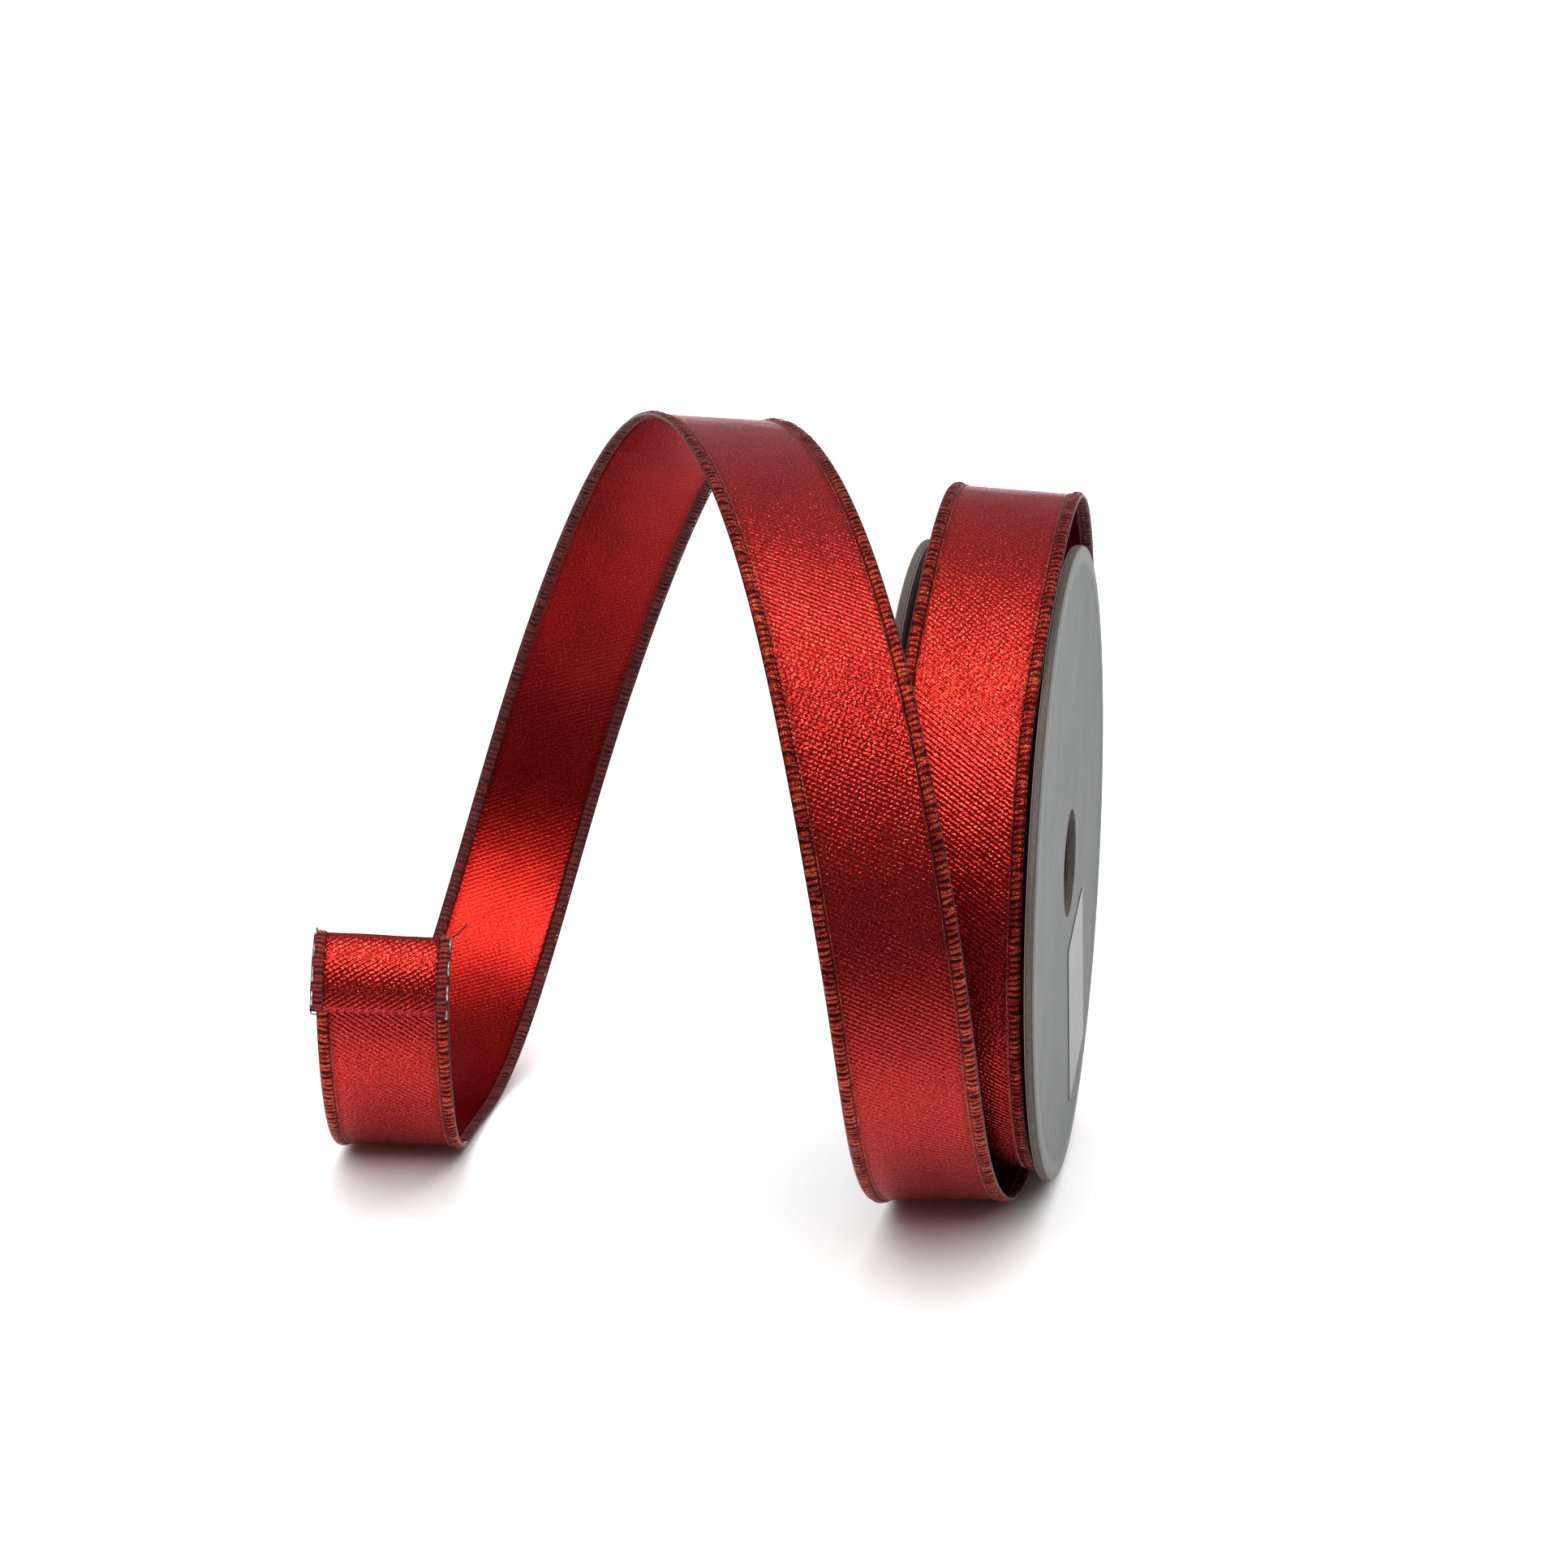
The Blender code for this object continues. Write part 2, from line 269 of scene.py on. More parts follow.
def thread_path(root, length, heading, turning, sideways):
    """A curling thread, its heading read from the ribbon's width towards upright."""
    upright = np.array([0.0, 0.0, 1.0])
    places, along = [np.array(root)], []
    for share in np.linspace(0.0, 1.0, 25):
        angle = math.radians(heading + turning * share)
        along.append(sideways * math.cos(angle) + upright * math.sin(angle))
        places.append(places[-1] + along[-1] * length / 24)
    along = unit(np.array(along))
    out_of = unit(np.cross(along, np.cross(upright, sideways)))
    return Course(np.array(places[:-1]), along, np.cross(along, out_of), out_of)


def wound_course():
    """Once round the outside of the wound roll."""
    turns = np.radians(np.linspace(360.0, 0.0, 361))
    zero = np.zeros(len(turns))
    outward = np.stack([zero, -np.sin(turns), np.cos(turns)], axis=1)
    along = np.stack([zero, np.cos(turns), np.sin(turns)], axis=1)
    across = np.tile([1.0, 0.0, 0.0], (len(turns), 1))
    return Course(outward * WOUND_REACH + np.array(SPOOL_AT), along, across, outward)


# -------------------------------------------------------------------- surfaces


def new_surface(name):
    """A material, its node tree and its shader."""
    made = bpy.data.materials.new(name)
    made.use_nodes = True
    tree = made.node_tree
    return made, tree, tree.nodes["Principled BSDF"]


def node(tree, kind, inputs=(), **settings):
    """A node with its settings, each input given a number or a socket."""
    made = tree.nodes.new("ShaderNode" + kind)
    for name, value in settings.items():
        setattr(made, name, value)
    for name, value in dict(inputs).items():
        if isinstance(value, bpy.types.NodeSocket):
            tree.links.new(value, made.inputs[name])
        else:
            made.inputs[name].default_value = value
    return made


def ramp(tree, factor, stops):
    """A colour ramp through (place, colour) stops, where a colour may be a grey."""
    made = node(tree, "ValToRGB", {"Fac": factor})
    points = made.color_ramp.elements
    while len(points) < len(stops):
        points.new(1.0)
    for point, (place, colour) in zip(points, stops):
        grey = isinstance(colour, (int, float))
        point.position = place
        point.color = (colour,) * 3 + (1.0,) if grey else (*colour, 1.0)
    return made.outputs["Color"]


def maths(tree, operation, first, second=0.0, third=0.0):
    made = node(tree, "Math", {0: first, 1: second, 2: third}, operation=operation)
    return made.outputs[0]


def mixed(tree, factor, first, second, blend="MIX"):
    """A colour mixed from two, each a colour or a socket."""
    made = node(tree, "Mix", data_type="RGBA", blend_type=blend)
    wanted = ((0, factor), (6, first), (7, second))
    for place, value in wanted:
        if isinstance(value, bpy.types.NodeSocket):
            tree.links.new(value, made.inputs[place])
        elif isinstance(value, tuple):
            made.inputs[place].default_value = (*value, 1.0)
        else:
            made.inputs[place].default_value = value
    return made.outputs[2]


def flat_place(tree, turn=0.0, grain=(1.0, 1.0)):
    """Place on the flat ribbon in mm, turned and measured in grains."""
    at = node(tree, "UVMap", uv_map="flat")
    made = node(
        tree,
        "Mapping",
        {"Vector": at.outputs[0], "Rotation": (0.0, 0.0, math.radians(turn))},
        vector_type="TEXTURE",
    )
    made.inputs["Scale"].default_value = (*grain, 1.0)
    return made.outputs[0]


def grain_noise(tree, place, detail=2.0, rough=0.5, flat=True, scale=1.0):
    made = node(
        tree,
        "TexNoise",
        {"Vector": place, "Scale": scale, "Detail": detail, "Roughness": rough},
        noise_dimensions="2D" if flat else "3D",
    )
    return made.outputs["Fac"]


def bumped(tree, shader, heights):
    """Chains bumps of (height socket, metres, strength) onto the shader."""
    before = None
    for height, distance, strength in heights:
        made = node(
            tree,
            "Bump",
            {"Height": height, "Distance": distance, "Strength": strength},
        )
        if before is not None:
            tree.links.new(before, made.inputs["Normal"])
        before = made.outputs["Normal"]
    tree.links.new(before, shader.inputs["Normal"])
    tree.links.new(before, shader.inputs["Coat Normal"])


def off_middle(tree):
    """How far a place on the flat ribbon is from its middle line, in mm."""
    at = node(tree, "UVMap", uv_map="flat")
    parts = node(tree, "SeparateXYZ", {0: at.outputs[0]})
    return maths(tree, "ABSOLUTE", parts.outputs[0])


def lame(name, tones, crease, sparkle, roughness, coat, slant=RIB_SLANT):
    """Foil-faced twill: slanting ribs, glittering grain and drawn-in hems."""
    made, tree, shader = new_surface(name)
    deep, bright = tones
    # Ribs slant across the ribbon, broken into floats along their length.
    on_ribs = node(tree, "SeparateXYZ", {0: flat_place(tree, slant, (1.0, RIB_PITCH))})
    wander = grain_noise(tree, flat_place(tree, slant, (2.2, 1.1)), 2.0, 0.6)
    across_ribs = maths(tree, "MULTIPLY_ADD", wander, 0.3, on_ribs.outputs[1])
    ribs = maths(tree, "SINE", maths(tree, "MULTIPLY", across_ribs, math.tau))
    along_ribs = maths(tree, "MULTIPLY_ADD", wander, 2.4, on_ribs.outputs[0])
    per_float = math.tau / FLOAT_LENGTH
    floats = maths(tree, "SINE", maths(tree, "MULTIPLY", along_ribs, per_float))
    twill = maths(tree, "MULTIPLY_ADD", floats, 0.55, ribs)
    breaks = grain_noise(tree, flat_place(tree, slant, (1.0, 0.5)), 2.0, 0.7)
    glitter = grain_noise(tree, flat_place(tree, -20.0, (0.34, 0.28)), 1.0, 0.7)
    drift = grain_noise(tree, flat_place(tree, 0.0, (9.0, 14.0)), 2.0)
    near_hem = node(
        tree, "MapRange", {"Value": off_middle(tree), 1: 8.6, 2: 10.1}, clamp=True
    ).outputs[0]
    tugs = grain_noise(tree, flat_place(tree, 0.0, (6.0, 0.8)), 1.0)
    drawn = maths(tree, "MULTIPLY", tugs, near_hem)
    # Deep and bright foil drift into each other; painted shade darkens the twill's hollows and
    # the cloth beside the hems, and pale salmon specks are painted glints.
    worn = mixed(tree, ramp(tree, drift, ((0.3, 0.0), (0.7, 1.0))), deep, bright)
    painted_shade_tone = tuple(0.35 * c for c in deep)
    height = maths(tree, "MULTIPLY_ADD", twill, 0.3, 0.5)
    # Painted shade: the foil is darkened in the hollows of the twill.
    groove_shade = ramp(tree, height, ((0.12, 0.85), (0.5, 0.0)))
    lined = mixed(tree, maths(tree, "MULTIPLY", groove_shade, crease), worn, painted_shade_tone)
    # Painted glints: pale salmon specks in the foil's colour stand in for the salmon glints of
    # its highlights.
    glint_flecks = ramp(tree, glitter, ((0.59, 0.0), (0.71, 0.8)))
    glint_flecked = mixed(tree, maths(tree, "MULTIPLY", glint_flecks, crease), lined, GLINT_FLECK)
    # Painted shade: the cloth is darkened along its hems, where it meets them.
    colour = mixed(tree, maths(tree, "MULTIPLY", near_hem, 0.6), glint_flecked, painted_shade_tone)
    tree.links.new(colour, shader.inputs["Base Color"])
    spread = node(
        tree, "MapRange", {"Value": glitter, 3: roughness - 0.08, 4: roughness + 0.1}
    )
    tree.links.new(spread.outputs[0], shader.inputs["Roughness"])
    shader.inputs["Metallic"].default_value = 1.0
    shader.inputs["Specular Tint"].default_value = (0.9, 0.55, 0.58, 1.0)
    shader.inputs["Coat Weight"].default_value = coat
    shader.inputs["Coat Roughness"].default_value = 0.22
    shader.inputs["Coat IOR"].default_value = 1.5
    bumped(
        tree,
        shader,
        (
            (twill, 0.000038, crease),
            (breaks, 0.00003, crease),
            (glitter, 0.00005, sparkle),
            (drawn, 0.0002, 0.6),
        ),
    )
    return made


def hem_thread(name, deep, glint, reverse):
    """Metallic overlock thread, dull and fuzzy on the ribbon's wrong side."""
    made, tree, shader = new_surface(name)
    strands = grain_noise(tree, flat_place(tree, 4.0, (0.9, 0.2)), 2.0, 0.7)
    glitter = grain_noise(tree, flat_place(tree, 12.0, (0.3, 0.22)), 2.0, 0.8)
    patches = grain_noise(tree, flat_place(tree, 0.0, (3.0, 4.0)), 1.0)
    tone = maths(tree, "ADD", maths(tree, "MULTIPLY", patches, 0.5), glitter)
    fresh = ramp(tree, tone, ((0.46, deep), (0.7, glint[0]), (0.9, glint[1])))
    back = mixed(tree, glitter, reverse, tuple(0.4 * c for c in reverse))
    under = node(tree, "Attribute", attribute_name="under").outputs["Fac"]
    colour = mixed(tree, maths(tree, "MULTIPLY", under, 0.85), fresh, back)
    tree.links.new(colour, shader.inputs["Base Color"])
    dull = node(tree, "MapRange", {"Value": under, 3: 0.24, 4: 0.5}).outputs[0]
    tree.links.new(dull, shader.inputs["Roughness"])
    shine = node(tree, "MapRange", {"Value": under, 3: 0.95, 4: 0.5}).outputs[0]
    tree.links.new(shine, shader.inputs["Metallic"])
    shader.inputs["Sheen Weight"].default_value = 0.12
    shader.inputs["Sheen Roughness"].default_value = 0.5
    shader.inputs["Sheen Tint"].default_value = (0.7, 0.3, 0.35, 1.0)
    bumped(tree, shader, ((strands, 0.00012, 0.8), (glitter, 0.00008, 0.7)))
    return made


def steel_wire():
    made, tree, shader = new_surface("florist_wire")
    place = node(tree, "TexCoord").outputs["Object"]
    drawn = grain_noise(tree, place, 2.0, 0.6, flat=False, scale=2500.0)
    grey = ramp(tree, drawn, ((0.3, (0.42, 0.42, 0.43)), (0.7, (0.72, 0.72, 0.72))))
    tree.links.new(grey, shader.inputs["Base Color"])
    spread = node(tree, "MapRange", {"Value": drawn, 3: 0.25, 4: 0.45})
    tree.links.new(spread.outputs[0], shader.inputs["Roughness"])
    shader.inputs["Metallic"].default_value = 1.0
    bumped(tree, shader, ((drawn, 0.00002, 0.5),))
    return made


def from_axle(tree):
    """Object place measured from the axle, and the distance from the axle line."""
    place = node(tree, "TexCoord").outputs["Object"]
    centred = node(
        tree, "Mapping", {"Vector": place, "Location": tuple(-SPOOL_AT)}
    ).outputs[0]
    parts = node(tree, "SeparateXYZ", {0: centred})
    flat = node(
        tree, "CombineXYZ", {"Y": parts.outputs[1], "Z": parts.outputs[2]}
    ).outputs[0]
    reach = node(tree, "VectorMath", {0: flat}, operation="LENGTH").outputs["Value"]
    return centred, parts, reach


def flange_paper():
    """Smooth grey liner with faint upright scuffs, and a painted highlight that makes it paler
    round its raised rim.
    """
    made, tree, shader = new_surface("flange_paper")
    centred, _, reach = from_axle(tree)
    streaked = node(
        tree, "Mapping", {"Vector": centred, "Scale": (0.2, 1.0, 0.07)}
    ).outputs[0]
    scuffs = grain_noise(tree, streaked, 4.0, 0.6, flat=False, scale=700.0)
    fibres = grain_noise(tree, centred, 4.0, 0.7, flat=False, scale=2600.0)
    clouds = grain_noise(tree, centred, 3.0, 0.5, flat=False, scale=70.0)
    rim = node(
        tree,
        "MapRange",
        {"Value": reach, 1: FLANGE_RADIUS - RIM_BAND, 2: FLANGE_RADIUS - 2.8 * MM},
        clamp=True,
    ).outputs[0]
    face = ramp(tree, clouds, ((0.3, (0.125, 0.129, 0.125)), (0.7, (0.15, 0.155, 0.15))))
    scuffed = mixed(
        tree, ramp(tree, scuffs, ((0.5, 0.0), (0.8, 0.55))), face, (0.21, 0.215, 0.21)
    )
    # Painted highlight: the raised rim band is made paler, as where it catches the light.
    pale = mixed(tree, maths(tree, "MULTIPLY", rim, 0.6), scuffed, (0.22, 0.225, 0.218))
    speck = mixed(
        tree, ramp(tree, fibres, ((0.3, 0.35), (0.55, 0.0))), pale, (0.11, 0.11, 0.107)
    )
    tree.links.new(speck, shader.inputs["Base Color"])
    spread = node(tree, "MapRange", {"Value": scuffs, 3: 0.5, 4: 0.7})
    tree.links.new(spread.outputs[0], shader.inputs["Roughness"])
    shader.inputs["Specular IOR Level"].default_value = 0.12
    bumped(tree, shader, ((fibres, 0.00003, 0.5), (scuffs, 0.00003, 0.4)))
    return made


def grey_board(name, dark, light, ply_scale):
    """Raw pulp board: thin plies on the cut edge and coarse fibres."""
    made, tree, shader = new_surface(name)
    centred, parts, _ = from_axle(tree)
    fibres = grain_noise(tree, centred, 5.0, 0.75, flat=False, scale=1500.0)
    lumps = grain_noise(tree, centred, 3.0, 0.6, flat=False, scale=260.0)
    along_axle = node(
        tree, "Mapping", {"Vector": centred, "Scale": (ply_scale, 60.0, 60.0)}
    ).outputs[0]
    plies = grain_noise(tree, along_axle, 2.0, 0.6, flat=False)
    pulp = ramp(tree, fibres, ((0.25, dark), (0.75, light)))
    layered = mixed(
        tree, ramp(tree, plies, ((0.35, 0.5), (0.6, 0.0))), pulp, tuple(0.55 * c for c in dark)
    )
    tree.links.new(layered, shader.inputs["Base Color"])
    spread = node(tree, "MapRange", {"Value": lumps, 3: 0.8, 4: 1.0})
    tree.links.new(spread.outputs[0], shader.inputs["Roughness"])
    bumped(
        tree,
        shader,
        ((fibres, 0.00012, 0.8), (plies, 0.00008, 0.7), (lumps, 0.0002, 0.4)),
    )
    return made


def wound_edges():
    """The edges of the turns packed side by side, seen down between the flanges."""
    made, tree, shader = new_surface("wound_edges")
    centred, _, reach = from_axle(tree)
    waver = grain_noise(tree, centred, 2.0, 0.5, flat=False, scale=120.0)
    ring = maths(tree, "MULTIPLY_ADD", waver, 0.0006, reach)
    turn = maths(tree, "SINE", maths(tree, "MULTIPLY", ring, math.tau / (1.1 * MM)))
    fuzz = grain_noise(tree, centred, 3.0, 0.7, flat=False, scale=2200.0)
    level = maths(tree, "MULTIPLY_ADD", turn, 0.3, fuzz)
    colour = ramp(tree, level, ((0.25, (0.02, 0.003, 0.004)), (0.8, (0.22, 0.03, 0.02))))
    tree.links.new(colour, shader.inputs["Base Color"])
    shader.inputs["Roughness"].default_value = 0.55
    shader.inputs["Metallic"].default_value = 0.5
    bumped(tree, shader, ((turn, 0.0002, 0.8), (fuzz, 0.0001, 0.8)))
    return made


def label_paper():
    """Blank coated sticker with a thin grey line just inside its edge."""
    made, tree, shader = new_surface("label_paper")
    centred, _, _ = from_axle(tree)
    on_label = node(
        tree,
        "Mapping",
        {
            "Vector": centred,
            "Location": (0.0, LABEL_AT[0], LABEL_AT[1]),
            "Rotation": (LABEL_TURN, 0.0, 0.0),
        },
        vector_type="TEXTURE",
    ).outputs[0]
    parts = node(tree, "SeparateXYZ", {0: on_label})
    gaps = []
    for axis, half in ((1, LABEL_SIZE[0] / 2), (2, LABEL_SIZE[1] / 2)):
        from_middle = maths(tree, "ABSOLUTE", parts.outputs[axis])
        gaps.append(maths(tree, "SUBTRACT", half, from_middle))
    inset = maths(tree, "MINIMUM", *gaps)
    edge = ramp(
        tree,
        maths(tree, "MULTIPLY", inset, 250.0),
        ((0.0, 0.7), (0.1, 0.7), (0.16, 0.0), (1.0, 0.0)),
    )
    clouds = grain_noise(tree, centred, 3.0, 0.5, flat=False, scale=90.0)
    fibres = grain_noise(tree, centred, 3.0, 0.6, flat=False, scale=2400.0)
    paper = ramp(tree, clouds, ((0.3, (0.155, 0.155, 0.158)), (0.7, (0.18, 0.18, 0.184))))
    colour = mixed(tree, edge, paper, (0.08, 0.08, 0.08))
    tree.links.new(colour, shader.inputs["Base Color"])
    spread = node(tree, "MapRange", {"Value": clouds, 3: 0.36, 4: 0.5})
    tree.links.new(spread.outputs[0], shader.inputs["Roughness"])
    shader.inputs["Specular IOR Level"].default_value = 0.25
    bumped(tree, shader, ((fibres, 0.00002, 0.4), (clouds, 0.0003, 0.3)))
    return made


# ------------------------------------------------------------- making of pieces


def add_piece(name, data, surfaces, smooth_under=None):
    for surface in surfaces:
        data.materials.append(surface)
    made = bpy.data.objects.new(name, data)
    bpy.context.scene.collection.objects.link(made)
    data.shade_smooth()
    if smooth_under is not None:
        data.set_sharp_from_angle(angle=math.radians(smooth_under))
    return made


def laid_piece(name, mesh, course, surfaces, waver=0.0, smooth_under=None):
    """Lays a flat bmesh on a course, keeping its flat place in mm as its UV."""
    data = bpy.data.meshes.new(name)
    bmesh.ops.recalc_face_normals(mesh, faces=mesh.faces)
    mesh.to_mesh(data)
    mesh.free()
    count = len(data.vertices)
    flat = np.empty(count * 3, np.float32)
    data.vertices.foreach_get("co", flat)
    flat = flat.reshape(-1, 3).astype(float)
    if waver:
        for place in flat:
            drift = noise.noise_vector(Vector(place) / (0.9 * MM))
            place += np.array(drift) * waver
    corners = np.empty(len(data.loops), np.int32)
    data.loops.foreach_get("vertex_index", corners)
    layer = data.uv_layers.new(name="flat")
    layer.uv.foreach_set("vector", (flat[corners, :2] / MM).astype(np.float32).ravel())
    under = data.attributes.new("under", "FLOAT", "POINT")
    share = np.clip(0.5 - flat[:, 2] / (0.5 * MM), 0.0, 1.0)
    under.data.foreach_set("value", share.astype(np.float32))
    data.vertices.foreach_set("co", course.lay(flat).astype(np.float32).ravel())
    data.update()
    return add_piece(name, data, surfaces, smooth_under)


def flat_sheet(start, end, half, step):
    """A flat strip of cloth, facing its right side."""
    mesh = bmesh.new()
    length = end - start
    bmesh.ops.create_grid(
        mesh, x_segments=16, y_segments=max(2, round(length / step)), size=0.5
    )
    bmesh.ops.scale(mesh, vec=(2.0 * half, length, 1.0), verts=mesh.verts)
    middle = (0.0, (start + end) / 2, 0.0)
    bmesh.ops.translate(mesh, vec=middle, verts=mesh.verts)
    return mesh


def crinkle(mesh, height):
    """Slow unevenness of the cloth between its hems."""
    for vertex in mesh.verts:
        x, y, _ = vertex.co
        free = 1.0 - min(1.0, abs(x) / CLOTH_HALF) ** 4
        slow = noise.noise(Vector((x * 90.0, y * 70.0, 0.0)))
        quick = noise.noise(Vector((x * 260.0 + y * 120.0, y * 240.0, 7.0)))
        vertex.co.z += free * height * (slow + 0.35 * quick)


def flat_rod(place, radii, start, end, sides, step):
    """A straight rod along the ribbon, with an oval section and closed ends."""
    mesh = bmesh.new()
    bmesh.ops.create_cone(
        mesh, cap_ends=True, segments=sides, radius1=1.0, radius2=1.0, depth=1.0
    )
    long_edges = [e for e in mesh.edges if abs(e.verts[0].co.z - e.verts[1].co.z) > 0.5]
    cuts = max(1, round((end - start) / step) - 1)
    bmesh.ops.subdivide_edges(mesh, edges=long_edges, cuts=cuts, use_grid_fill=True)
    bmesh.ops.rotate(mesh, matrix=Matrix.Rotation(math.pi / 2, 3, "X"), verts=mesh.verts)
    bmesh.ops.scale(mesh, vec=(radii[0], end - start, radii[1]), verts=mesh.verts)
    middle = (place[0], (start + end) / 2, place[1])
    bmesh.ops.translate(mesh, vec=middle, verts=mesh.verts)
    return mesh


def one_strand():
    """A strand of thread round the hem, open where it enters the cloth."""
    mesh = bmesh.new()
    bmesh.ops.create_circle(mesh, cap_ends=True, segments=4, radius=0.135)
    turn = Matrix.Rotation(math.pi / 2, 3, "X")
    bmesh.ops.rotate(mesh, matrix=turn, verts=mesh.verts)
    bmesh.ops.rotate(mesh, matrix=Matrix.Rotation(math.pi / 2, 3, "Z"), verts=mesh.verts)
    bmesh.ops.rotate(mesh, matrix=Matrix.Rotation(math.pi / 2, 3, "X"), verts=mesh.verts)
    bmesh.ops.translate(mesh, vec=(0.87, 0.0, 0.0), verts=mesh.verts)
    start = Matrix.Rotation(math.radians(160.0), 3, "Y")
    bmesh.ops.rotate(mesh, matrix=start, verts=mesh.verts)
    bmesh.ops.spin(
        mesh,
        geom=mesh.verts[:] + mesh.edges[:] + mesh.faces[:],
        cent=(0.0, 0.0, 0.0),
        axis=(0.0, 1.0, 0.0),
        angle=math.radians(-320.0),
        steps=8,
    )
    return mesh


def stitch_set(side):
    """A dozen overlock stitches, each a bundle of three strands round the hem."""
    draw = random.Random(11 if side > 0 else 23)
    strand = bpy.data.meshes.new("strand")
    single = one_strand()
    single.to_mesh(strand)
    single.free()
    mesh = bmesh.new()
    for k in range(STITCHES_IN_SET):
        middle = (k + 0.5 + draw.uniform(-0.2, 0.2)) * STITCH_PITCH
        slant = draw.uniform(-0.08, 0.4)
        tall = draw.uniform(0.8, 1.12)
        for lane, lift in ((-1, 0.86), (0, 1.0), (1, 0.86)):
            known = set(mesh.verts)
            mesh.from_mesh(strand)
            new = [v for v in mesh.verts if v not in known]
            rise = STITCH_RISE * tall * lift
            offset = middle + lane * STITCH_PITCH * draw.uniform(0.16, 0.21)
            for vertex in new:
                x, y, z = vertex.co
                leaning = slant * x * (1.0 if z > 0.0 else -0.6) * STITCH_HALF
                vertex.co.x = side * (HEM_MIDDLE + x * STITCH_HALF)
                vertex.co.y = offset + y * STITCH_PITCH + leaning
                vertex.co.z = z * rise
    bpy.data.meshes.remove(strand)
    return mesh


def flat_stitches(side, start, end):
    """Sets of stitches end to end along the hem."""
    mesh = stitch_set(side)
    bmesh.ops.translate(mesh, vec=(0.0, start, 0.0), verts=mesh.verts)
    first = mesh.verts[:] + mesh.edges[:] + mesh.faces[:]
    long = STITCHES_IN_SET * STITCH_PITCH
    count = max(1, math.ceil((end - start) / long - 0.02))
    for k in range(1, count):
        made = bmesh.ops.duplicate(mesh, geom=first)["geom"]
        fresh = [g for g in made if isinstance(g, bmesh.types.BMVert)]
        bmesh.ops.translate(mesh, vec=(0.0, k * long, 0.0), verts=fresh)
    share = (end - start) / (count * long)
    for vertex in mesh.verts:
        vertex.co.y = start + (vertex.co.y - start) * share
    return mesh


def flat_chain(side, start, end):
    """The needle thread beside the hem, dipping in and out of the cloth."""
    place = (side * CHAIN_AT, CLOTH_THICK / 2)
    radii = (0.12 * MM, 0.11 * MM)
    mesh = flat_rod(place, radii, start, end, 5, STITCH_PITCH / 4)
    for vertex in mesh.verts:
        wave = math.cos(math.tau * (vertex.co.y - start) / STITCH_PITCH)
        vertex.co.z += 0.09 * MM * wave
        vertex.co.x += 0.05 * MM * noise.noise(vertex.co * 900.0)
    return mesh


def hemmed_ribbon(part, course, start, end, surfaces):
    """Cloth with its two bound, wired hems, laid on a course."""
    made = {}
    sheet = flat_sheet(start, end, CLOTH_HALF, 1.2 * MM)
    crinkle(sheet, 0.11 * MM)
    cloth = laid_piece(f"{part}_cloth", sheet, course, surfaces["cloth"])
    thicken = cloth.modifiers.new("thickness", "SOLIDIFY")
    thicken.thickness = CLOTH_THICK
    thicken.offset = 0.0
    thicken.material_offset = 1
    made["cloth"] = cloth
    for side, hand in ((-1, "left"), (1, "right")):
        middle = (side * HEM_MIDDLE, 0.0)
        rod = flat_rod(middle, (HEM_HALF, HEM_DEPTH), start, end, 12, 1.1 * MM)
        name = f"{part}_hem_binding_{hand}"
        made[f"binding_{hand}"] = laid_piece(name, rod, course, surfaces["binding"])
        bars = flat_stitches(side, start, end)
        name = f"{part}_hem_stitches_{hand}"
        made[f"stitches_{hand}"] = laid_piece(
            name, bars, course, surfaces["thread"], waver=0.07 * MM
        )
        chain = flat_chain(side, start, end)
        name = f"{part}_needle_thread_{hand}"
        made[f"chain_{hand}"] = laid_piece(name, chain, course, surfaces["chain"])
    trim = [piece for key, piece in made.items() if key != "cloth"]
    return made


# ----------------------------------------------------------------- the ribbon


def loose_ribbon(course, surfaces):
    end = course.length - SEAM_BELOW
    made = hemmed_ribbon("loose_ribbon", course, 0.0, end, surfaces)
    stretches = ("outer_turn", "loose_turn", "front_strip", "back_strip", "tail")
    for stretch in stretches:
        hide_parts(f"ribbon_cloth_{stretch}")
        for hand in ("left", "right"):
            node_name = f"hem_stitching_{hand}_{stretch}"
            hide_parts(node_name)
    for key, piece in made.items():
        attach(piece, "loose_ribbon")


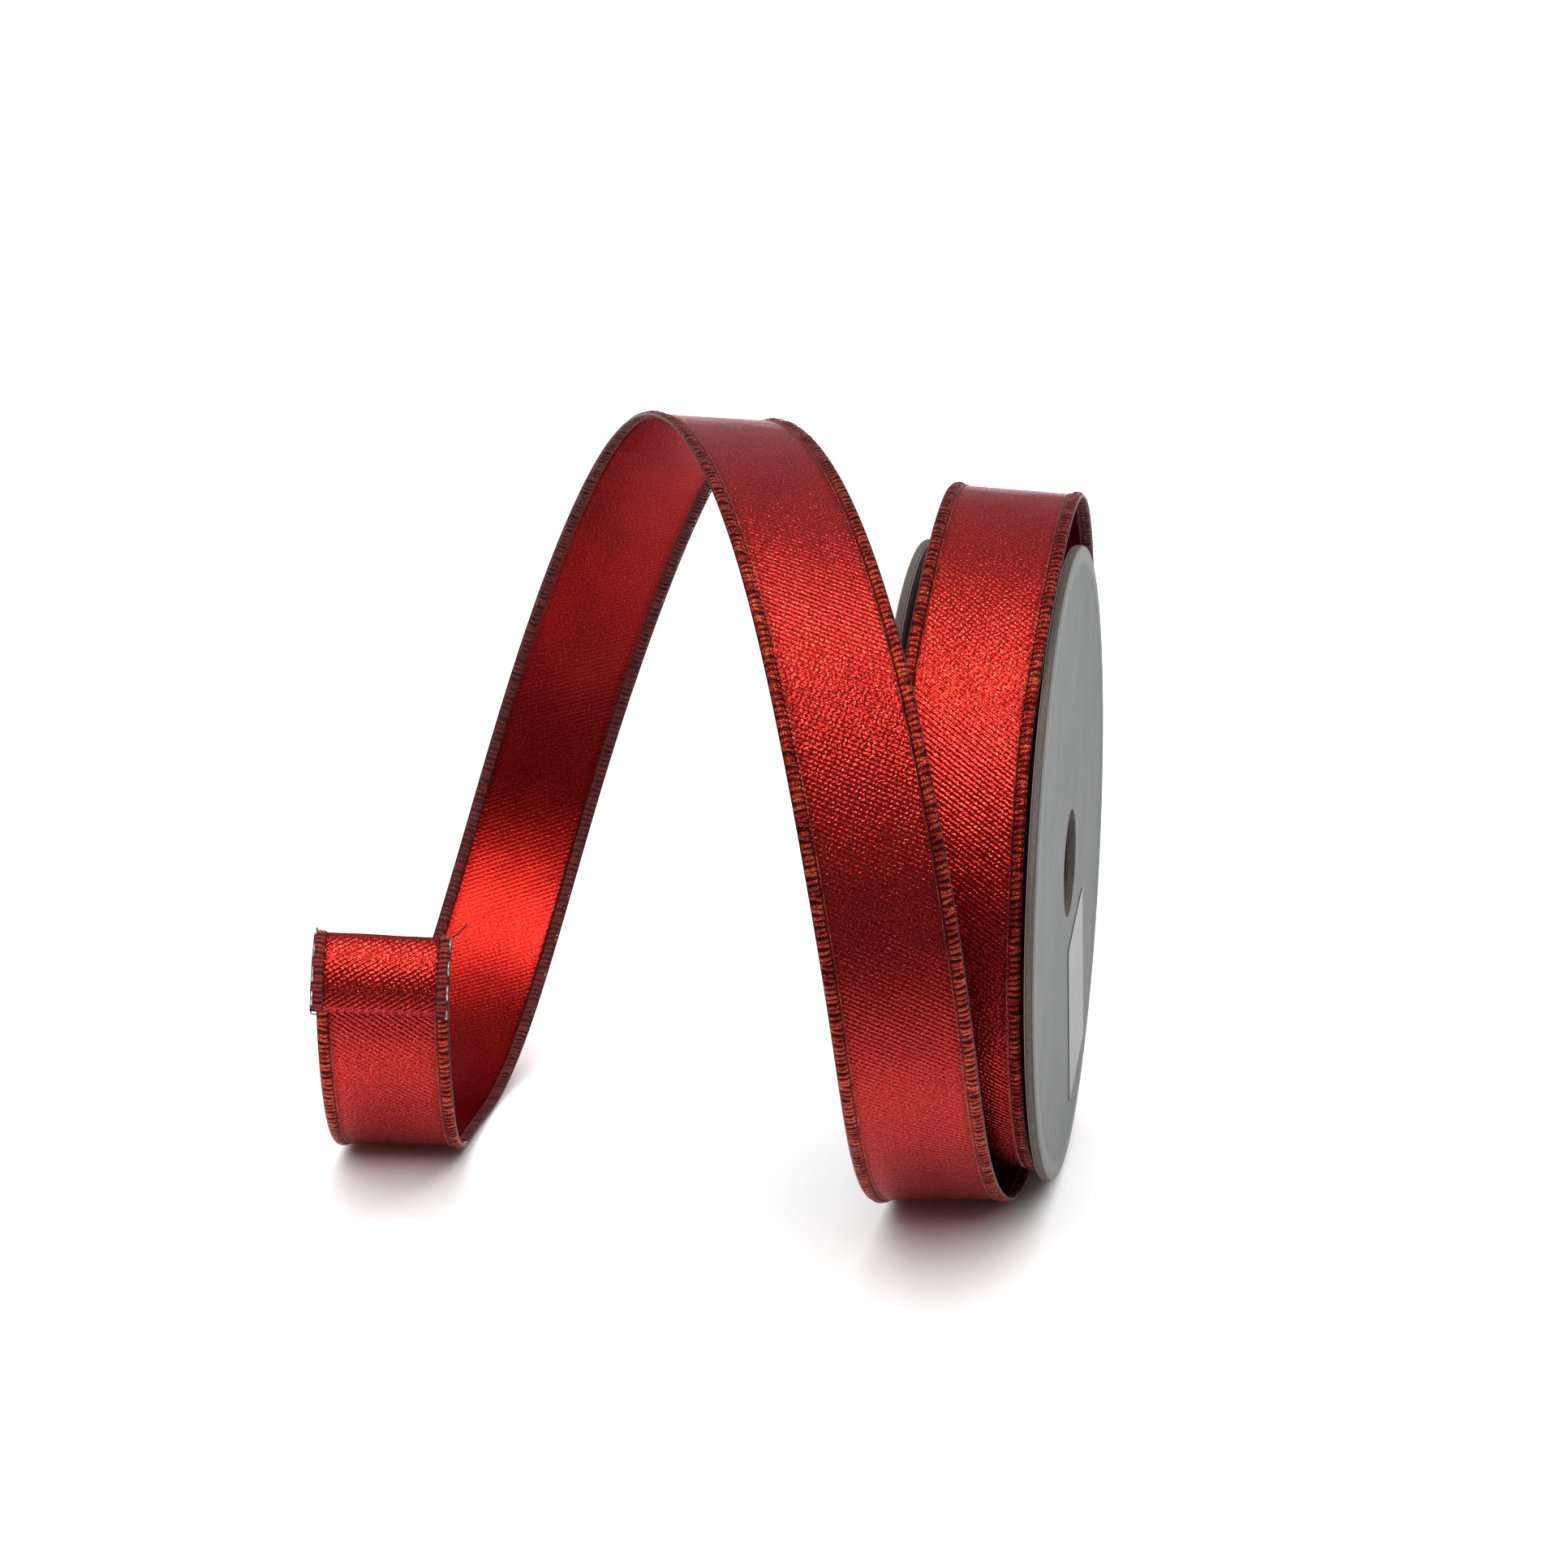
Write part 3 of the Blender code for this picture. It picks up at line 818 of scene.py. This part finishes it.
def folded_end(loose, course, surfaces):
    """The cut end folded down in front of the tail, bending at the fold."""
    # The flap's wrong side takes the bright foil and the thread copy painted lighter, as lit,
    # in place of the shaded ones.
    surfaces = {
        **surfaces,
        "cloth": surfaces["turned_back"],
        "thread": surfaces["cut_thread"],
    }
    made = hemmed_ribbon(
        "folded_end", course, 0.0, course.length, surfaces
    )
    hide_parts("end_flap_cloth")
    for side, hand in ((-1, "left"), (1, "right")):
        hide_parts(f"end_flap_hem_{hand}")
        place = (side * 12.1 * MM, 0.0)
        rod = flat_rod(place, (0.17 * MM, 0.17 * MM), 0.0, course.length, 8, 0.3 * MM)
        for vertex in rod.verts:
            wave = math.cos(math.tau * (vertex.co.y / WIRE_DASH + 0.25 * side))
            vertex.co.z -= (0.3 + 0.55 * wave) * MM
        wire = laid_piece(f"folded_end_wire_{hand}", rod, course, surfaces["wire"])
        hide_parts(f"end_flap_wire_{hand}")
        made[f"wire_{hand}"] = wire
    for key, piece in made.items():
        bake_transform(piece)
    fold = SEAM_BELOW + math.pi / 2 * FOLD_TURN
    low = course.length - 0.5 * MM
    stray = (
        ("loose_thread_at_fold", (12.4, fold / MM), 3.8, 30.0, 30.0),
        ("cut_thread_left", (-12.2, low / MM), 2.6, -115.0, 210.0),
        ("cut_thread_right", (12.0, low / MM), 2.4, -60.0, -220.0),
        ("cut_thread_right_short", (10.4, low / MM), 1.5, -95.0, 120.0),
    )
    for name, (across, down), length, heading, turning in stray:
        root = course.lay(np.array([(across * MM, down * MM, -0.35 * MM)]))[0]
        path = thread_path(root, length * MM, heading, turning, loose.across[-1])
        rod = flat_rod((0.0, 0.0), (0.14 * MM, 0.14 * MM), 0.0, path.length, 6, 0.2 * MM)
        piece = laid_piece(name, rod, path, surfaces["binding"])
        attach(piece, "end_flap")


def wound_roll(course, surfaces, edges):
    """The wound turns: their packed edges, and the outermost turn of ribbon."""
    made = hemmed_ribbon(
        "wound_turn", course, 0.0, course.length, surfaces
    )
    inner = CORE_OUTER + 0.1 * MM
    half = RIBBON_WIDTH / 2
    packed = turned(
        "wound_turns",
        (
            (-half, inner),
            (half, inner),
            (half, WOUND_REACH - 0.45 * MM),
            (-half, WOUND_REACH - 0.45 * MM),
        ),
        edges,
        0.2 * MM,
    )
    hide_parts("wound_cloth")
    for hand in ("left", "right"):
        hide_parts(f"wound_hem_{hand}")
    made["packed"] = packed
    for key, piece in made.items():
        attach(piece, "spool")


# ------------------------------------------------------------------- the spool


def turned(name, profile, surface, soften):
    """A closed (along axle, radius) outline turned about the axle line."""
    mesh = bmesh.new()
    rim = [mesh.verts.new(SPOOL_AT + Vector((x, 0.0, r))) for x, r in profile]
    edges = [mesh.edges.new((rim[k - 1], rim[k])) for k in range(len(rim))]
    bmesh.ops.spin(
        mesh,
        geom=rim + edges,
        cent=SPOOL_AT,
        axis=(1.0, 0.0, 0.0),
        angle=math.tau,
        steps=TURNED_STEPS,
        use_merge=True,
    )
    bmesh.ops.recalc_face_normals(mesh, faces=mesh.faces)
    data = bpy.data.meshes.new(name)
    mesh.to_mesh(data)
    mesh.free()
    made = add_piece(name, data, [surface], smooth_under=30.0)
    rounding = made.modifiers.new("soft_edges", "BEVEL")
    rounding.width = soften
    rounding.segments = 2
    rounding.limit_method = "ANGLE"
    rounding.angle_limit = math.radians(40.0)
    return made


def flange(side, hand, board, paper):
    """Grey board lined inside, with an outer facing embossed round its rim."""
    face = FLANGE_GAP / 2
    lining = face + PAPER_THICK
    near = lining + PASTE_GAP
    far = near + BOARD_THICK
    outer = far + PASTE_GAP
    plain = outer + PAPER_THICK
    raised = plain + RIM_RISE
    edge = FLANGE_RADIUS - 0.15 * MM
    band = FLANGE_RADIUS - RIM_BAND
    outlines = {
        "lining": (
            (face, HOLE_RADIUS),
            (lining, HOLE_RADIUS),
            (lining, edge),
            (face, edge),
        ),
        "board": (
            (near, HOLE_RADIUS),
            (far, HOLE_RADIUS),
            (far, FLANGE_RADIUS),
            (near, FLANGE_RADIUS),
        ),
        "facing": (
            (outer, HOLE_RADIUS),
            (plain, HOLE_RADIUS),
            (plain, band - 0.3 * MM),
            (plain + 0.25 * RIM_RISE, band + 0.1 * MM),
            (plain + 0.75 * RIM_RISE, band + 0.5 * MM),
            (raised, band + 0.9 * MM),
            (raised, edge - 0.9 * MM),
            (raised - 0.06 * MM, edge - 0.45 * MM),
            (plain + 0.05 * MM, edge - 0.1 * MM),
            (plain - 0.05 * MM, edge),
            (outer, edge),
        ),
    }
    for part, outline in outlines.items():
        surface, slot = (board, "grey_board") if part == "board" else (paper, "flange_paper")
        outline = [(side * x, r) for x, r in outline]
        soften = 0.14 * MM if part == "board" else 0.05 * MM
        piece = turned(f"{hand}_flange_{part}", outline, surface, soften)
        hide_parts(f"flange_{part}_{hand}")
        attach(piece, "spool")


def finish_frame_piece(name, surface):
    """A piece of the frame that stays, with its finish."""
    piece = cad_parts[name]
    piece.data.materials.clear()
    piece.data.materials.append(surface)


# ------------------------------------------------------------------- the studio


def studio():
    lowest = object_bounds()[0].z
    mesh = bmesh.new()
    bmesh.ops.create_grid(mesh, x_segments=1, y_segments=1, size=4.0)
    bmesh.ops.translate(mesh, vec=(0.0, 0.0, lowest), verts=mesh.verts)
    data = bpy.data.meshes.new("floor")
    mesh.to_mesh(data)
    mesh.free()
    floor = bpy.data.objects.new("floor", data)
    bpy.context.scene.collection.objects.link(floor)
    pale, _, shader = new_surface("pale_floor")
    shader.inputs["Base Color"].default_value = (0.86, 0.86, 0.86, 1.0)
    shader.inputs["Roughness"].default_value = 0.9
    shader.inputs["Specular IOR Level"].default_value = 0.1
    data.materials.append(pale)
    floor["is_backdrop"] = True
    return floor


def soft_light(name, at, aim, size, power, tint=(1.0, 1.0, 1.0), mirrored=True):
    """A flat light. A mirrored one is seen in shiny faces and lights no dull ones."""
    data = bpy.data.lights.new(name, "AREA")
    data.shape = "RECTANGLE"
    data.size, data.size_y = size
    data.energy = power
    data.color = tint
    made = bpy.data.objects.new(name, data)
    made.location = at
    made.rotation_euler = (Vector(aim) - Vector(at)).to_track_quat("-Z", "Y").to_euler()
    made.visible_glossy = mirrored
    made.visible_diffuse = not mirrored
    bpy.context.scene.collection.objects.link(made)
    return made


def room_light():
    """A pale room that is dark low down in front and brighter behind and above."""
    world = bpy.data.worlds.new("studio")
    bpy.context.scene.world = world
    world.use_nodes = True
    tree = world.node_tree
    direction = node(tree, "TexCoord").outputs["Generated"]
    parts = node(tree, "SeparateXYZ", {0: direction})
    height = ramp(
        tree,
        parts.outputs[2],
        ((0.0, 0.1), (0.25, 0.17), (0.6, 0.42), (1.0, 0.62)),
    )
    behind = node(
        tree, "MapRange", {"Value": parts.outputs[1], 1: 0.1, 2: 0.7}, clamp=True
    ).outputs[0]
    colour = mixed(tree, maths(tree, "MULTIPLY", behind, 0.8), height, (0.6, 0.6, 0.66))
    tree.links.new(colour, tree.nodes["Background"].inputs["Color"])
    tree.nodes["Background"].inputs["Strength"].default_value = 1.0


def dark_card():
    """A dark grey card in front of the object, seen only in its reflections."""
    mesh = bmesh.new()
    bmesh.ops.create_grid(mesh, x_segments=1, y_segments=1, size=1.0)
    bmesh.ops.scale(mesh, vec=(1.5, CARD_DEEP / 2, 1.0), verts=mesh.verts)
    middle = (0.0, CARD_FROM - CARD_DEEP / 2, 1.0 * MM)
    bmesh.ops.translate(mesh, vec=middle, verts=mesh.verts)
    data = bpy.data.meshes.new("dark_card")
    mesh.to_mesh(data)
    mesh.free()
    card = bpy.data.objects.new("dark_card", data)
    bpy.context.scene.collection.objects.link(card)
    dull, _, shader = new_surface("dark_card")
    shader.inputs["Base Color"].default_value = (0.11, 0.11, 0.11, 1.0)
    shader.inputs["Roughness"].default_value = 1.0
    data.materials.append(dull)
    card.visible_camera = False
    card.visible_diffuse = False
    card.visible_shadow = False
    card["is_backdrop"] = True


def camera():
    data = bpy.data.cameras.new("camera")
    data.lens = 111.5
    data.clip_start = 0.05
    made = bpy.data.objects.new("camera", data)
    made.location = (0.1589, -0.8655, 0.3508)
    made.rotation_euler = (math.radians(72.6), 0.0, math.radians(9.4))
    bpy.context.scene.collection.objects.link(made)
    bpy.context.scene.camera = made


def ribbon_surfaces():
    """The finishes that every stretch of the ribbon is made with."""
    foil = ((0.42, 0.005, 0.007), (0.5, 0.01, 0.01))
    # Painted shade: the wrong side's foil is darkened for the loop insides, while the flap
    # shows the same side in the bright foil.
    shaded_foil = ((0.19, 0.002, 0.003), (0.24, 0.004, 0.005))
    face = lame("lame_right_side", foil, 1.0, 0.8, 0.22, 0.26)
    turned_back = lame("lame_turned_back", foil, 0.9, 0.6, 0.22, 0.26, -RIB_SLANT)
    reverse = lame("lame_wrong_side_shaded", shaded_foil, 0.3, 0.8, 0.32, 0.12)
    # Painted light: the hem thread's wrong side is dark for the loop insides as painted shade,
    # and lighter in the flap's copy below as painted light.
    thread = hem_thread(
        "hem_thread",
        (0.2, 0.008, 0.008),
        ((0.5, 0.022, 0.018), (0.95, 0.17, 0.08)),
        (0.16, 0.02, 0.03),
    )
    cut_thread = hem_thread(
        "cut_end_thread_lit",
        (0.2, 0.008, 0.008),
        ((0.52, 0.026, 0.02), (0.95, 0.17, 0.07)),
        (0.5, 0.04, 0.04),
    )
    binding = hem_thread(
        "hem_binding",
        (0.012, 0.001, 0.001),
        ((0.04, 0.004, 0.003), (0.12, 0.015, 0.008)),
        (0.03, 0.006, 0.01),
    )
    chain = hem_thread(
        "needle_thread",
        (0.1, 0.01, 0.01),
        ((0.26, 0.03, 0.02), (0.6, 0.18, 0.1)),
        (0.1, 0.02, 0.03),
    )
    wire = steel_wire()
    return {
        "cloth": [face, reverse],
        "turned_back": [face, turned_back],
        "binding": [binding],
        "thread": [thread],
        "cut_thread": [cut_thread],
        "chain": [chain],
        "wire": [wire],
    }


def lights():
    middle = (0.0, 0.0, 0.07)
    warm = (1.0, 0.68, 0.46)
    soft_light("overhead_key", (0.05, -0.62, 1.0), middle, (0.44, 0.3), 9.5, warm)
    above, size = (0.0, -0.1, 1.3), (3.0, 3.0)
    soft_light("floor_wash", above, middle, size, 50.0, mirrored=False)
    above, size = (0.0, 1.9, 1.8), (3.0, 2.0)
    soft_light("back_wash", above, (0.0, 1.8, 0.0), size, 60.0, mirrored=False)


def main():
    camera()
    surfaces = ribbon_surfaces()
    loose = loose_course()
    loose_ribbon(loose, surfaces)
    folded_end(loose, folded_course(loose), surfaces)
    wound_roll(wound_course(), surfaces, wound_edges())
    board = grey_board("grey_board", (0.075, 0.06, 0.05), (0.16, 0.135, 0.12), 5200.0)
    tube = grey_board("core_board", (0.09, 0.065, 0.045), (0.2, 0.15, 0.11), 900.0)
    paper = flange_paper()
    flange(-1, "left", board, paper)
    flange(1, "right", board, paper)
    finish_frame_piece("flange_label", label_paper())
    finish_frame_piece("core_tube", tube)
    for hand in ("left", "right"):
        finish_frame_piece(f"edge_wire_{hand}", surfaces["wire"][0])
    studio()
    room_light()
    dark_card()
    lights()
    bpy.context.scene.view_settings.view_transform = "Standard"


main()
